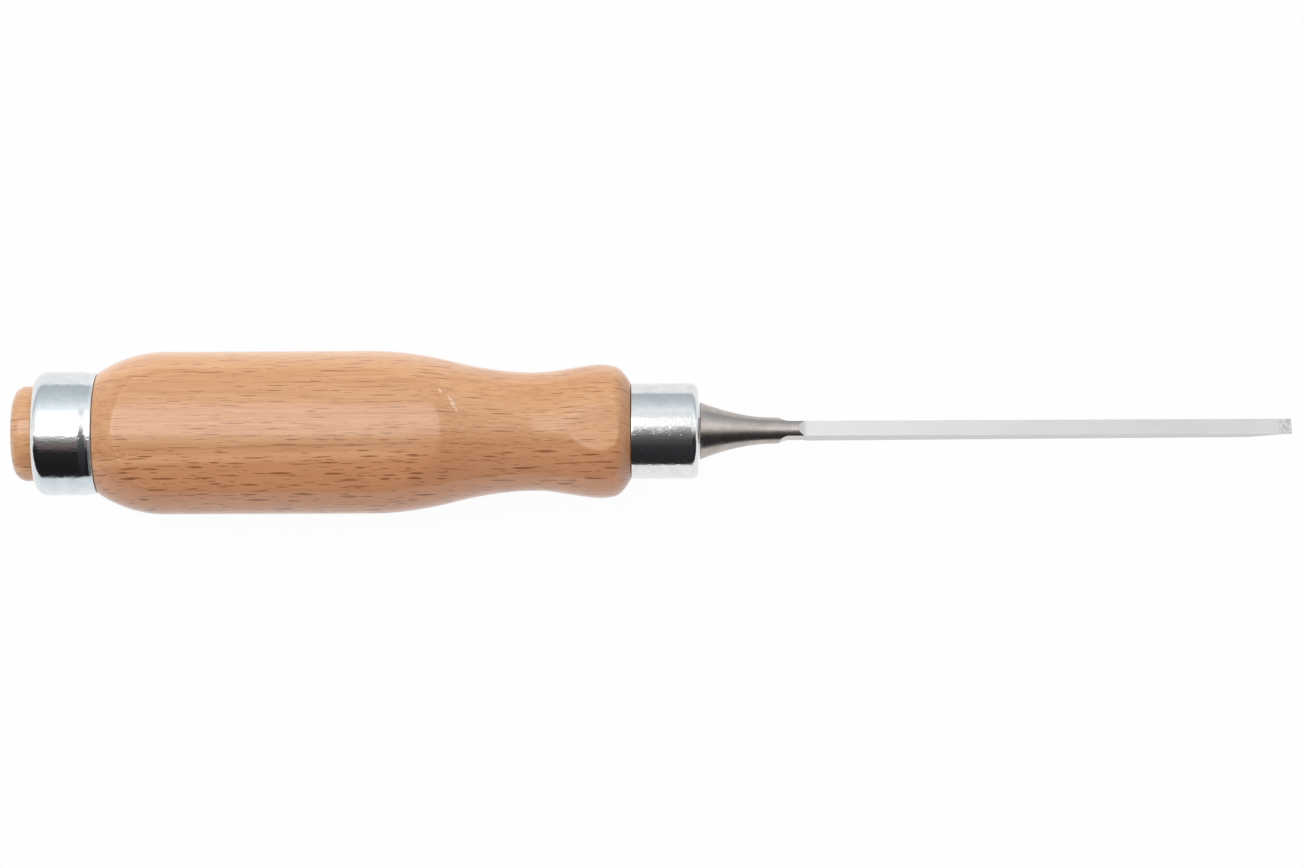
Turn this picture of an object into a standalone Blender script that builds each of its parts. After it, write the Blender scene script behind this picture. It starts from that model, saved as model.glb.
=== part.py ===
"""Bevel edge chisel: a forged blade with a tang, a turned beech handle, a ferrule and a striking hoop.

Each piece is built along +X from the middle of the struck end. An empty then lays the tool on the lower
flat of its grip, with the flat back of the blade up and the middle of its length over the origin.
"""
import math

import bmesh
import bpy

MM = 0.001

# Fit between pieces that touch, how far cutters reach past what they cut, and what counts as one point
CLEARANCE = 0.3 * MM
OVERCUT = 6.0 * MM
WELD = 0.001 * MM

# Struck end of the handle
STUB_LENGTH = 4.3 * MM
STUB_RADIUS = 9.7 * MM
STUB_ROUND = 2.3 * MM

# Striking hoop, drawn from sheet, with a lip turned in past its bore and a rim swaged on to the wood
HOOP_LENGTH = 12.6 * MM
HOOP_WALL = 2.2 * MM
HOOP_LIP = 0.4 * MM
HOOP_CORNER = 2.4 * MM
HOOP_EDGE_ROUND = 0.5 * MM
HOOP_RIM_LENGTH = 1.6 * MM
HOOP_RIM_RAMP = 1.3 * MM
HOOP_RIM_DROP = 0.25 * MM
HOOP_PROUD = 0.3 * MM

# Turned body of the handle, from the hoop to the ferrule
SHOULDER_LENGTH = 13.8 * MM
GRIP_LENGTH = 42.0 * MM
GRIP_RADIUS = 16.6 * MM
TAPER_LENGTH = 16.9 * MM
TAPER_RADIUS = 14.3 * MM
TAPER_SLOPE = 0.25
WAIST_LENGTH = 16.6 * MM
WAIST_RADIUS = 12.1 * MM
BELL_LENGTH = 13.6 * MM
BELL_RADIUS = 13.65 * MM
CREST_LENGTH = 1.8 * MM
CREST_DROP = 0.25 * MM
NOSE_LENGTH = 3.4 * MM
NOSE_BULGE = 0.35 * MM

# Crowned flats on the two broad sides of the grip and of the bell, each with a level land along its middle
FLAT_LAND = 5.0 * MM
GRIP_FLAT_DEPTH = 1.7 * MM
GRIP_CROWN_OFFSET = 3.35 * MM
BELL_FLAT_DEPTH = 0.7 * MM
BELL_CROWN_OFFSET = 15.0 * MM

# Front ferrule, a drawn cup with a hole for the tang in its front wall
FERRULE_LENGTH = 13.7 * MM
FERRULE_RADIUS = 9.75 * MM
FERRULE_WALL = 0.8 * MM
FERRULE_CORNER = 1.7 * MM
FERRULE_EDGE_ROUND = 0.35 * MM
TENON_CHAMFER = 0.6 * MM

# Tang, square and tapered, inside the handle
TANG_LENGTH = 75.0 * MM
TANG_WIDTH = 4.4 * MM
TANG_END_WIDTH = 2.4 * MM
TANG_ROOT = 3.0 * MM

# Bolster and round neck
BOLSTER_RADIUS = 5.85 * MM
BOLSTER_SLOPE = 0.38
NECK_TAPER_LENGTH = 13.9 * MM
NECK_RADIUS = 2.7 * MM
NECK_SLOPE = 0.03
NECK_LENGTH = 5.0 * MM
HEEL_SWELL_LENGTH = 5.5 * MM

# Blade, ground flat on its back and sides
BLADE_LENGTH = 101.5 * MM
BLADE_WIDTH = 3.1 * MM
BACK_HEIGHT = 2.15 * MM
SIDE_HEIGHT_HEEL = 4.8 * MM
SIDE_HEIGHT_TIP = 3.0 * MM
EDGE_BEVEL = 0.5 * MM
CUTTING_ANGLE = math.radians(20)
SIDE_RUNOUT = 3.0 * MM
SIDE_RUNOUT_SETBACK = 0.6 * MM
BACK_RUNOUT = 2.2 * MM
BACK_RUNOUT_ADVANCE = 2.7 * MM

# Facets
TURNED_STEPS = 56
NECK_STEPS = 32
CURVE_STEPS = 8
CORNER_STEPS = 5
SMALL_STEPS = 3
CROWN_STEPS = 9
RUNOUT_STEPS = 8

# Finishes: colour as linear red, green and blue, then roughness, then how metallic
BEECH = ((0.58, 0.32, 0.18), 0.38, 0.0)
PLATED_STEEL = ((0.75, 0.77, 0.78), 0.2, 1.0)
GROUND_STEEL = ((0.66, 0.66, 0.67), 0.32, 1.0)

# Stations along the tool, from the struck end
HOOP_REAR = STUB_LENGTH
HOOP_FRONT = HOOP_REAR + HOOP_LENGTH
SHOULDER = HOOP_FRONT + CLEARANCE
GRIP_REAR = SHOULDER + SHOULDER_LENGTH
GRIP_FRONT = GRIP_REAR + GRIP_LENGTH
TAPER = GRIP_FRONT + TAPER_LENGTH
WAIST = TAPER + WAIST_LENGTH
BELL = WAIST + BELL_LENGTH
CREASE = BELL + CREST_LENGTH
NOSE = CREASE + NOSE_LENGTH
FERRULE_REAR = NOSE + CLEARANCE
FERRULE_FRONT = FERRULE_REAR + FERRULE_LENGTH
TENON_END = FERRULE_FRONT - FERRULE_WALL - CLEARANCE
BOLSTER = FERRULE_FRONT + CLEARANCE
NECK = BOLSTER + NECK_TAPER_LENGTH
HEEL = NECK + NECK_LENGTH
TIP = HEEL + BLADE_LENGTH

# Radii that follow from the fits
HOOP_HOLE = STUB_RADIUS + CLEARANCE
HOOP_BORE = HOOP_HOLE + HOOP_LIP
HOOP_RADIUS = HOOP_BORE + HOOP_WALL
FERRULE_BORE = FERRULE_RADIUS - FERRULE_WALL
FERRULE_HOLE = TANG_WIDTH * math.sqrt(0.5) + CLEARANCE
GRIP_APOTHEM = GRIP_RADIUS - GRIP_FLAT_DEPTH
BELL_APOTHEM = BELL_RADIUS - BELL_FLAT_DEPTH

for leftover in list(bpy.data.objects):
    bpy.data.objects.remove(leftover)

parts = bpy.data.collections.new("bevel_edge_chisel")
cutters = bpy.data.collections.new("chisel_cutters")
bpy.context.scene.collection.children.link(parts)
bpy.context.scene.collection.children.link(cutters)

tool_axis = bpy.data.objects.new("tool_axis", None)
tool_axis.location = (-TIP / 2, 0, GRIP_APOTHEM)
parts.objects.link(tool_axis)


def finish(name, look):
    """A Principled material for one piece."""
    colour, roughness, metallic = look
    material = bpy.data.materials.new(name)
    material.use_nodes = True
    shader = material.node_tree.nodes["Principled BSDF"]
    shader.inputs["Base Color"].default_value = (*colour, 1)
    shader.inputs["Roughness"].default_value = roughness
    shader.inputs["Metallic"].default_value = metallic
    return material


def arc(centre, radius, start, end, steps=CORNER_STEPS):
    """Points on an arc in the outline's plane, with angles in degrees from +X."""
    angles = [math.radians(start + (end - start) * i / steps) for i in range(steps + 1)]
    return [(centre[0] + radius * math.cos(a), centre[1] + radius * math.sin(a)) for a in angles]


def rounded(place, radius, size, start, end, steps=CORNER_STEPS):
    """An outside or inside corner of a turned outline, as an arc that ends square to both its sides."""
    inward = 1 if max(start, end) > 90 else -1
    return arc((place + inward * size, radius - size), size, start, end, steps)


def ease(start, end, steps=CURVE_STEPS):
    """Points on a cubic between two stations, each given as place, radius and slope."""
    x0, r0, slope0 = start
    x1, r1, slope1 = end
    points = []
    for i in range(steps + 1):
        t = i / steps
        rise = r0 + (r1 - r0) * t * t * (3 - 2 * t)
        rise += (x1 - x0) * (slope0 * t * (1 - t) ** 2 - slope1 * t * t * (1 - t))
        points.append((x0 + (x1 - x0) * t, rise))
    return points


def without_repeats(outline):
    """The outline with each point that repeats the one before it left out."""
    kept = outline[:1]
    for point in outline[1:]:
        if math.dist(point, kept[-1]) > WELD:
            kept.append(point)
    return kept


def turned(name, outline, steps, closed=False):
    """A solid turned about X. The outline gives place and radius, and runs from the tip to the butt."""
    outline = without_repeats(outline)
    edges = [(i, i + 1) for i in range(len(outline) - 1)]
    if closed:
        edges.append((len(outline) - 1, 0))
    mesh = bpy.data.meshes.new(name)
    mesh.from_pydata([(x, radius, 0) for x, radius in outline], edges, [])
    piece = bpy.data.objects.new(name, mesh)
    piece.parent = tool_axis
    parts.objects.link(piece)
    screw = piece.modifiers.new("turning", "SCREW")
    screw.axis = "X"
    screw.steps = steps
    screw.render_steps = steps
    screw.use_merge_vertices = True
    screw.merge_threshold = WELD
    screw.use_smooth_shade = True
    return piece


def hide_cutter(cutter):
    """Mark an object as a cutter."""
    cutter.parent = tool_axis
    cutter.hide_render = True
    cutter.display_type = "WIRE"
    return cutter


def plate_cutter(name, outline, thickness, location=(0, 0, 0), rotation=(0, 0, 0)):
    """A flat outline, extruded equally to both sides of its plane, as a cutter."""
    curve = bpy.data.curves.new(name, "CURVE")
    curve.dimensions = "2D"
    curve.fill_mode = "BOTH"
    curve.extrude = thickness / 2
    spline = curve.splines.new("POLY")
    spline.points.add(len(outline) - 1)
    for point, (u, v) in zip(spline.points, outline):
        point.co = (u, v, 0, 1)
    spline.use_cyclic_u = True
    drawn = bpy.data.objects.new(name + "_outline", curve)
    cutters.objects.link(drawn)
    evaluated = drawn.evaluated_get(bpy.context.evaluated_depsgraph_get())
    mesh = bpy.data.meshes.new_from_object(evaluated)
    bpy.data.objects.remove(drawn)
    shape = bmesh.new()
    shape.from_mesh(mesh)
    bmesh.ops.remove_doubles(shape, verts=shape.verts, dist=WELD)
    bmesh.ops.recalc_face_normals(shape, faces=shape.faces)
    shape.to_mesh(mesh)
    shape.free()
    cutter = bpy.data.objects.new(name, mesh)
    cutter.location = location
    cutter.rotation_mode = "XZY"
    cutter.rotation_euler = rotation
    cutters.objects.link(cutter)
    return hide_cutter(cutter)


def boolean(piece, tool, operation):
    """Cut a piece with a tool, or join the tool to it."""
    modifier = piece.modifiers.new(tool.name, "BOOLEAN")
    modifier.operation = operation
    modifier.solver = "EXACT"
    modifier.object = tool


def square_bar(name, grow):
    """The tang's square taper, or its socket when grown by a clearance."""
    rear = BOLSTER - TANG_LENGTH - grow
    front = BOLSTER + TANG_ROOT
    mouth = TANG_WIDTH + 2 * grow
    end = TANG_END_WIDTH + 2 * grow
    front_width = mouth + (mouth - end) * TANG_ROOT / TANG_LENGTH
    bpy.ops.mesh.primitive_cone_add(
        vertices=4, radius1=end * math.sqrt(0.5), radius2=front_width * math.sqrt(0.5), depth=front - rear)
    bar = bpy.context.object
    bar.name = name
    for owner in list(bar.users_collection):
        owner.objects.unlink(bar)
    cutters.objects.link(bar)
    bar.location = ((front + rear) / 2, 0, 0)
    bar.rotation_mode = "ZYX"
    bar.rotation_euler = (0, math.radians(90), math.radians(45))
    return hide_cutter(bar)


def crown_cutter(name, apothem, offset, turned_radius, start, end, side):
    """What is planed off one broad side of the handle, leaving a crowned flat with a level land."""
    crown = math.hypot(apothem + offset, FLAT_LAND / 2)
    reach = turned_radius + CLEARANCE
    cosine = (offset ** 2 + crown ** 2 - reach ** 2) / (2 * offset * crown)
    half_sweep = math.degrees(math.acos(max(cosine, 0)))
    half_land = math.degrees(math.asin(FLAT_LAND / 2 / crown))
    curve = arc((0, -offset), crown, 90 - half_sweep, 90 - half_land, CROWN_STEPS)
    curve += arc((0, -offset), crown, 90 + half_land, 90 + half_sweep, CROWN_STEPS)
    corner = curve[0][0] + OVERCUT
    top = apothem + OVERCUT
    outline = curve + [(-corner, curve[-1][1]), (-corner, top), (corner, top), (corner, curve[0][1])]
    return plate_cutter(
        name, [(u, side * v) for u, v in outline], end - start,
        location=((start + end) / 2, 0, 0), rotation=(math.radians(90), 0, math.radians(90)))


def runout(face, start, radius, end):
    """Outline of what a wheel grinds off: past face, with a round run-out where it leaves the steel."""
    far = face + radius + OVERCUT
    wheel = arc((start, face + radius), radius, 180, 270, RUNOUT_STEPS)
    return wheel + [(end, face), (end, far), (start - radius, far)]


# Handle: turned outline, then flats planed on its broad sides and a square socket for the tang
hoop_tenon = HOOP_BORE - CLEARANCE
hoop_seat = HOOP_REAR + HOOP_WALL + CLEARANCE
ferrule_tenon = FERRULE_BORE - CLEARANCE
shoulder_radius = HOOP_RADIUS - HOOP_PROUD
shoulder_drop = GRIP_RADIUS - shoulder_radius
shoulder_arc = (SHOULDER_LENGTH ** 2 + shoulder_drop ** 2) / (2 * shoulder_drop)
shoulder_sweep = math.degrees(math.asin(SHOULDER_LENGTH / shoulder_arc))
crease_radius = BELL_RADIUS - CREST_DROP
crest_slope = -2 * CREST_DROP / CREST_LENGTH
nose_middle = ((CREASE + NOSE) / 2 + NOSE_BULGE, (crease_radius + FERRULE_RADIUS) / 2 + NOSE_BULGE)
handle_outline = [(TENON_END, 0), (TENON_END, ferrule_tenon - TENON_CHAMFER)]
handle_outline += [(TENON_END - TENON_CHAMFER, ferrule_tenon), (NOSE, ferrule_tenon), (NOSE, FERRULE_RADIUS)]
handle_outline += [nose_middle]
handle_outline += ease((CREASE, crease_radius, crest_slope), (BELL, BELL_RADIUS, 0), SMALL_STEPS)
handle_outline += ease((BELL, BELL_RADIUS, 0), (WAIST, WAIST_RADIUS, 0))
handle_outline += ease((WAIST, WAIST_RADIUS, 0), (TAPER, TAPER_RADIUS, -TAPER_SLOPE))
handle_outline += ease((TAPER, TAPER_RADIUS, -TAPER_SLOPE), (GRIP_FRONT, GRIP_RADIUS, 0))
shoulder_centre = (GRIP_REAR, GRIP_RADIUS - shoulder_arc)
handle_outline += arc(shoulder_centre, shoulder_arc, 90, 90 + shoulder_sweep, CURVE_STEPS)
handle_outline += [(SHOULDER, hoop_tenon), (hoop_seat, hoop_tenon), (hoop_seat, STUB_RADIUS)]
handle_outline += rounded(0, STUB_RADIUS, STUB_ROUND, 90, 180)
handle_outline += [(0, 0)]
handle = turned("handle", handle_outline, TURNED_STEPS)
for label, side in (("upper", 1), ("lower", -1)):
    grip_flat = crown_cutter(
        label + "_grip_flat", GRIP_APOTHEM, GRIP_CROWN_OFFSET, GRIP_RADIUS, SHOULDER, WAIST, side)
    bell_flat = crown_cutter(
        label + "_bell_flat", BELL_APOTHEM, BELL_CROWN_OFFSET, BELL_RADIUS, WAIST, NOSE + CLEARANCE, side)
    boolean(handle, grip_flat, "DIFFERENCE")
    boolean(handle, bell_flat, "DIFFERENCE")
boolean(handle, square_bar("tang_socket", CLEARANCE), "DIFFERENCE")
handle.data.materials.append(finish("lacquered_beech", BEECH))

# Striking hoop: a ring round the handle's rear tenon, with its lip behind the tenon's step
hoop_corner = min(HOOP_CORNER, HOOP_WALL + HOOP_LIP)
hoop_inner_corner = min(max(hoop_corner - HOOP_WALL, CLEARANCE), HOOP_LIP)
lip_front = HOOP_REAR + HOOP_WALL
rim_radius = HOOP_RADIUS - HOOP_RIM_DROP
rim_rear = HOOP_FRONT - HOOP_RIM_LENGTH
hoop_outline = rounded(HOOP_FRONT, rim_radius, HOOP_EDGE_ROUND, 0, 90, SMALL_STEPS)
hoop_outline += ease((rim_rear, rim_radius, 0), (rim_rear - HOOP_RIM_RAMP, HOOP_RADIUS, 0), SMALL_STEPS)
hoop_outline += rounded(HOOP_REAR, HOOP_RADIUS, hoop_corner, 90, 180)
hoop_outline += [(HOOP_REAR, HOOP_HOLE), (lip_front, HOOP_HOLE)]
hoop_outline += rounded(lip_front, HOOP_BORE, hoop_inner_corner, 180, 90, SMALL_STEPS)
hoop_outline += [(HOOP_FRONT, HOOP_BORE)]
hoop = turned("striking_hoop", hoop_outline, TURNED_STEPS, closed=True)
hoop.data.materials.append(finish("plated_hoop", PLATED_STEEL))

# Front ferrule: a cup over the handle's front tenon, with the tang through its front wall
wall_rear = FERRULE_FRONT - FERRULE_WALL
cup_corner = max(FERRULE_CORNER - FERRULE_WALL, CLEARANCE)
ferrule_outline = [(FERRULE_FRONT, FERRULE_HOLE)]
ferrule_outline += rounded(FERRULE_FRONT, FERRULE_RADIUS, FERRULE_CORNER, 0, 90)
ferrule_outline += rounded(FERRULE_REAR, FERRULE_RADIUS, FERRULE_EDGE_ROUND, 90, 180, SMALL_STEPS)
ferrule_outline += [(FERRULE_REAR, FERRULE_BORE)]
ferrule_outline += rounded(wall_rear, FERRULE_BORE, cup_corner, 90, 0, SMALL_STEPS)
ferrule_outline += [(wall_rear, FERRULE_HOLE)]
ferrule = turned("front_ferrule", ferrule_outline, TURNED_STEPS, closed=True)
ferrule.data.materials.append(finish("plated_ferrule", PLATED_STEEL))

# Blade: a forging turned at the bolster and neck, then ground to the blade's section, with the tang joined
half_width = BLADE_WIDTH / 2
bottom_heel = BACK_HEIGHT - SIDE_HEIGHT_HEEL - EDGE_BEVEL
bottom_tip = BACK_HEIGHT - SIDE_HEIGHT_TIP - EDGE_BEVEL
fall = (bottom_tip - bottom_heel) / BLADE_LENGTH
swell_radius = math.hypot(half_width, bottom_heel) + CLEARANCE
blank_end = TIP + OVERCUT
blade_outline = [(blank_end, 0), (blank_end, swell_radius)]
blade_outline += ease(
    (HEEL + HEEL_SWELL_LENGTH, swell_radius, 0), (HEEL, NECK_RADIUS - NECK_SLOPE * NECK_LENGTH, 0))
blade_outline += ease((NECK, NECK_RADIUS, -NECK_SLOPE), (BOLSTER, BOLSTER_RADIUS, -BOLSTER_SLOPE))
blade_outline += [(BOLSTER, 0)]
blade = turned("blade", blade_outline, NECK_STEPS)
cut_depth = 2 * (swell_radius + OVERCUT)
cut_end = blank_end + OVERCUT
upright = (math.radians(90), 0, 0)
back_face = runout(BACK_HEIGHT, HEEL + BACK_RUNOUT_ADVANCE, BACK_RUNOUT, cut_end)
boolean(blade, plate_cutter("back_face", back_face, cut_depth, rotation=upright), "DIFFERENCE")
slope = math.tan(CUTTING_ANGLE)
bevel_length = (BACK_HEIGHT - bottom_tip) / (slope - fall)
under_face = [(HEEL, bottom_heel), (TIP - bevel_length, bottom_tip - fall * bevel_length)]
under_face += [(cut_end, BACK_HEIGHT + (cut_end - TIP) * slope), (cut_end, -cut_depth), (HEEL, -cut_depth)]
boolean(blade, plate_cutter("under_face", under_face, cut_depth, rotation=upright), "DIFFERENCE")
bevel_run = cut_end - HEEL
bevel_middle = (HEEL + bevel_run / 2, 0, bottom_heel + fall * bevel_run / 2)
along_blade = (math.radians(90), -math.atan(fall), math.radians(90))
reach = OVERCUT / 2
for label, side in (("left", 1), ("right", -1)):
    side_face = runout(half_width, HEEL - SIDE_RUNOUT_SETBACK, SIDE_RUNOUT, cut_end)
    side_cutter = plate_cutter(label + "_side", [(u, side * v) for u, v in side_face], cut_depth)
    boolean(blade, side_cutter, "DIFFERENCE")
    edge = [(half_width - EDGE_BEVEL - reach, -reach), (half_width + reach, EDGE_BEVEL + reach)]
    edge += [(half_width + reach, -reach)]
    edge_cutter = plate_cutter(
        label + "_edge_bevel", [(side * u, v) for u, v in edge], bevel_run, bevel_middle, along_blade)
    boolean(blade, edge_cutter, "DIFFERENCE")
boolean(blade, square_bar("tang", 0), "UNION")
blade.data.materials.append(finish("ground_steel", GROUND_STEEL))
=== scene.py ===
"""A bevel edge chisel in its finishes: lacquered beech, plated steel and ground tool steel."""
import math

import bmesh
import bpy
from mathutils import Matrix, Vector


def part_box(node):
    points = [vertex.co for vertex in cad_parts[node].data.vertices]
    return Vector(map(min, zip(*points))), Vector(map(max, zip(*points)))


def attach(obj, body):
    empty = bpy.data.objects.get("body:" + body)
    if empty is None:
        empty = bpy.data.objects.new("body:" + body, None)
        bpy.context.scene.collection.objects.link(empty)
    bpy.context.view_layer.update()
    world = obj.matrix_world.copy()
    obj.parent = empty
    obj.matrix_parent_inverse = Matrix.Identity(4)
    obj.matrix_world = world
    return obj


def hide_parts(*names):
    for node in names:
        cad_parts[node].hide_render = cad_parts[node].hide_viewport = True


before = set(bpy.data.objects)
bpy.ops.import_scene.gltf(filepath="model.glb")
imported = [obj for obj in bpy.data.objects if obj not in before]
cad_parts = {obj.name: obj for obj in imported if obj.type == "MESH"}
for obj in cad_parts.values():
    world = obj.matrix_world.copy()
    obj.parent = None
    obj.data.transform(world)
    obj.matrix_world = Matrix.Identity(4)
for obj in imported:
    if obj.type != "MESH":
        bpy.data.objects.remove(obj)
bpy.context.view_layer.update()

# Handle
# One piece of steamed beech, turned to a grip, a waist and a bell, with crowned flats planed on its two
# broad sides. It is sanded and lacquered, and its tenons are driven into the hoop and the ferrule.
MM = 0.001
CLEARANCE = 0.3 * MM
INSET = 0.01 * MM
STRUCK_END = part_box("handle")[0].x
AXIS_HEIGHT = (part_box("striking_hoop")[0].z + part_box("striking_hoop")[1].z) / 2
HOOP_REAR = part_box("striking_hoop")[0].x - STRUCK_END
HOOP_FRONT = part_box("striking_hoop")[1].x - STRUCK_END
HOOP_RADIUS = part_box("striking_hoop")[1].z - AXIS_HEIGHT
FERRULE_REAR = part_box("front_ferrule")[0].x - STRUCK_END
FERRULE_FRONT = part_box("front_ferrule")[1].x - STRUCK_END
FERRULE_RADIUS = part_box("front_ferrule")[1].z - AXIS_HEIGHT
GRIP_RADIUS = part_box("handle")[1].y - INSET
FLAT_ALLOWANCE = 0.15 * MM
GRIP_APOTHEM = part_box("handle")[1].z - AXIS_HEIGHT - FLAT_ALLOWANCE
TANG_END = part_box("blade")[0].x - STRUCK_END
TANG_HALF_WIDTH = 2.2 * MM
TANG_END_HALF_WIDTH = 1.2 * MM
STUB_RADIUS = 9.7 * MM
STUB_ROUND = 2.6 * MM
HOOP_WALL = 2.2 * MM
HOOP_BORE = HOOP_RADIUS - HOOP_WALL
SEAM_GAP = CLEARANCE / 4
SHOULDER = HOOP_FRONT + SEAM_GAP
SHOULDER_STEP = 0.3 * MM
SHOULDER_RADIUS = HOOP_RADIUS - SHOULDER_STEP
SHOULDER_ROUND = 0.3 * MM
SHOULDER_SWEEP = 13.8 * MM
GRIP_REAR = SHOULDER + SHOULDER_SWEEP
GRIP_LENGTH = 42.0 * MM
GRIP_FRONT = GRIP_REAR + GRIP_LENGTH
TAPER_LENGTH = 16.9 * MM
TAPER = GRIP_FRONT + TAPER_LENGTH
TAPER_RADIUS = 14.3 * MM
TAPER_SLOPE = -0.25
WAIST_LENGTH = 16.6 * MM
WAIST = TAPER + WAIST_LENGTH
WAIST_RADIUS = 12.1 * MM
BELL_LENGTH = 13.6 * MM
BELL = WAIST + BELL_LENGTH
BELL_RADIUS = 13.65 * MM
CREST_LENGTH = 1.8 * MM
CREASE = BELL + CREST_LENGTH
CREST_DROP = 0.25 * MM
NOSE = FERRULE_REAR - SEAM_GAP
NOSE_BULGE = 0.9 * MM
FLAT_LAND = 2.0 * MM
FLAT_ROLL = math.radians(9)
GRIP_CROWN_OFFSET = 7.84 * MM
BELL_FLAT_DEPTH = 0.82 * MM
BELL_APOTHEM = BELL_RADIUS - BELL_FLAT_DEPTH
BELL_CROWN_OFFSET = 200.0 * MM
FLAT_EDGE_SOFTNESS = 0.06 * MM
FERRULE_WALL = 0.8 * MM
FERRULE_TENON = FERRULE_RADIUS - FERRULE_WALL - CLEARANCE
TENON_END = FERRULE_FRONT - FERRULE_WALL - CLEARANCE
SOCKET_MOUTH = TANG_HALF_WIDTH + CLEARANCE
SOCKET_END = TANG_END_HALF_WIDTH + CLEARANCE
COARSE_STEP = 1.0 * MM
STATION_STEP = 0.45 * MM
NOSE_STEP = 0.17 * MM
EDGE_STEP = 0.05 * MM
STUB_ROUND_STEPS = 14
HANDLE_STEPS = 240
WELD_DISTANCE = 0.001 * MM
SHARP_ANGLE = math.radians(35)


def arc(centre, radius, start, end, steps=8):
    """Points on an arc in the outline's plane, with angles in degrees from +X."""
    angles = [math.radians(start + (end - start) * i / steps) for i in range(steps + 1)]
    return [(centre[0] + radius * math.cos(a), centre[1] + radius * math.sin(a)) for a in angles]


def ease(start, end, x):
    """Radius at x on a cubic between two stations, each given as place, radius and slope."""
    x0, r0, slope0 = start
    x1, r1, slope1 = end
    t = (x - x0) / (x1 - x0)
    rise = r0 + (r1 - r0) * t * t * (3 - 2 * t)
    return rise + (x1 - x0) * (slope0 * t * (1 - t) ** 2 - slope1 * t * t * (1 - t))


def stations(start, end, step):
    """Evenly spaced places from start to end, both included."""
    count = math.ceil((end - start) / step)
    return [start + (end - start) * i / count for i in range(count + 1)]


def handle_radius(x):
    """Radius of the turned handle at a place between its shoulder and its nose."""
    drop = GRIP_RADIUS - SHOULDER_RADIUS
    length = GRIP_REAR - SHOULDER
    sweep = (length ** 2 + drop ** 2) / (2 * drop)
    crest_slope = -2 * CREST_DROP / (CREASE - BELL)
    crease_radius = BELL_RADIUS - CREST_DROP
    if x <= GRIP_REAR:
        short = max(0, 1 - (x - SHOULDER) / SHOULDER_ROUND)
        edge = SHOULDER_ROUND * (1 - math.sqrt(1 - short ** 2))
        return GRIP_RADIUS - sweep + math.sqrt(sweep ** 2 - (GRIP_REAR - x) ** 2) - edge
    if x <= GRIP_FRONT:
        return GRIP_RADIUS
    if x <= TAPER:
        return ease((GRIP_FRONT, GRIP_RADIUS, 0), (TAPER, TAPER_RADIUS, TAPER_SLOPE), x)
    if x <= WAIST:
        return ease((TAPER, TAPER_RADIUS, TAPER_SLOPE), (WAIST, WAIST_RADIUS, 0), x)
    if x <= BELL:
        return ease((WAIST, WAIST_RADIUS, 0), (BELL, BELL_RADIUS, 0), x)
    if x <= CREASE:
        return ease((BELL, BELL_RADIUS, 0), (CREASE, crease_radius, crest_slope), x)
    share = (x - CREASE) / (NOSE - CREASE)
    chord = crease_radius + (FERRULE_RADIUS - crease_radius) * share
    return chord + NOSE_BULGE * 4 * share * (1 - share)


class Wire:
    """One output of a node. Sums on it add Math nodes, and add() makes any other node in the same tree."""

    def __init__(self, tree, socket=None):
        self.tree = tree
        self.socket = socket

    @staticmethod
    def pick(sockets, key):
        """A socket by its place, its identifier or its name."""
        if isinstance(key, int):
            return sockets[key]
        named = [s for s in sockets if s.identifier == key]
        return (named + [s for s in sockets if s.name == key])[0]

    def add(self, kind, settings=None, sockets=None, out=0):
        """A new node from its type, its settings, and the values or wires of its sockets."""
        node = self.tree.nodes.new(kind)
        for name, value in (settings or {}).items():
            setattr(node, name, value)
        for key, value in (sockets or {}).items():
            socket = self.pick(node.inputs, key)
            if isinstance(value, Wire):
                self.tree.links.new(value.socket, socket)
            else:
                socket.default_value = value
        return Wire(self.tree, self.pick(node.outputs, out) if node.outputs else None)

    def out(self, key):
        """Another output of the same node."""
        return Wire(self.tree, self.pick(self.socket.node.outputs, key))

    def math(self, operation, *values):
        """A Math node."""
        return self.add("ShaderNodeMath", {"operation": operation}, dict(enumerate(values)))

    def __add__(self, other):
        return self.math("ADD", self, other)

    def __sub__(self, other):
        return self.math("SUBTRACT", self, other)

    def __rsub__(self, other):
        return self.math("SUBTRACT", other, self)

    def __mul__(self, other):
        return self.math("MULTIPLY", self, other)

    def __truediv__(self, other):
        return self.math("DIVIDE", self, other)

    def __rtruediv__(self, other):
        return self.math("DIVIDE", other, self)

    def __abs__(self):
        return self.math("ABSOLUTE", self)

    __radd__ = __add__
    __rmul__ = __mul__

    def vector(self, x, y, z):
        """A vector of three values or wires."""
        return self.add("ShaderNodeCombineXYZ", sockets={"X": x, "Y": y, "Z": z})

    def parts(self):
        """The three parts of this vector."""
        split = self.add("ShaderNodeSeparateXYZ", sockets={"Vector": self})
        return split, split.out("Y"), split.out("Z")

    def between(self, low, high):
        """A smooth step: 0 where this value is at or below low, and 1 where it is at or above high."""
        return self.add("ShaderNodeMapRange", {"interpolation_type": "SMOOTHSTEP"},
                        {"Value": self, "From Min": low, "From Max": high})

    def noise(self, detail=2.0, roughness=0.5):
        """Noise over this vector, about 0.5 in the mean."""
        return self.add("ShaderNodeTexNoise", sockets={
            "Vector": self, "Scale": 1.0, "Detail": detail, "Roughness": roughness})

    def mix(self, colour, other):
        """This value, from 0 to 1, as a mix of two colours."""
        return self.add("ShaderNodeMix", {"data_type": "RGBA"}, {
            "Factor_Float": self, "A_Color": colour, "B_Color": other}, out="Result_Color")


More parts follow.
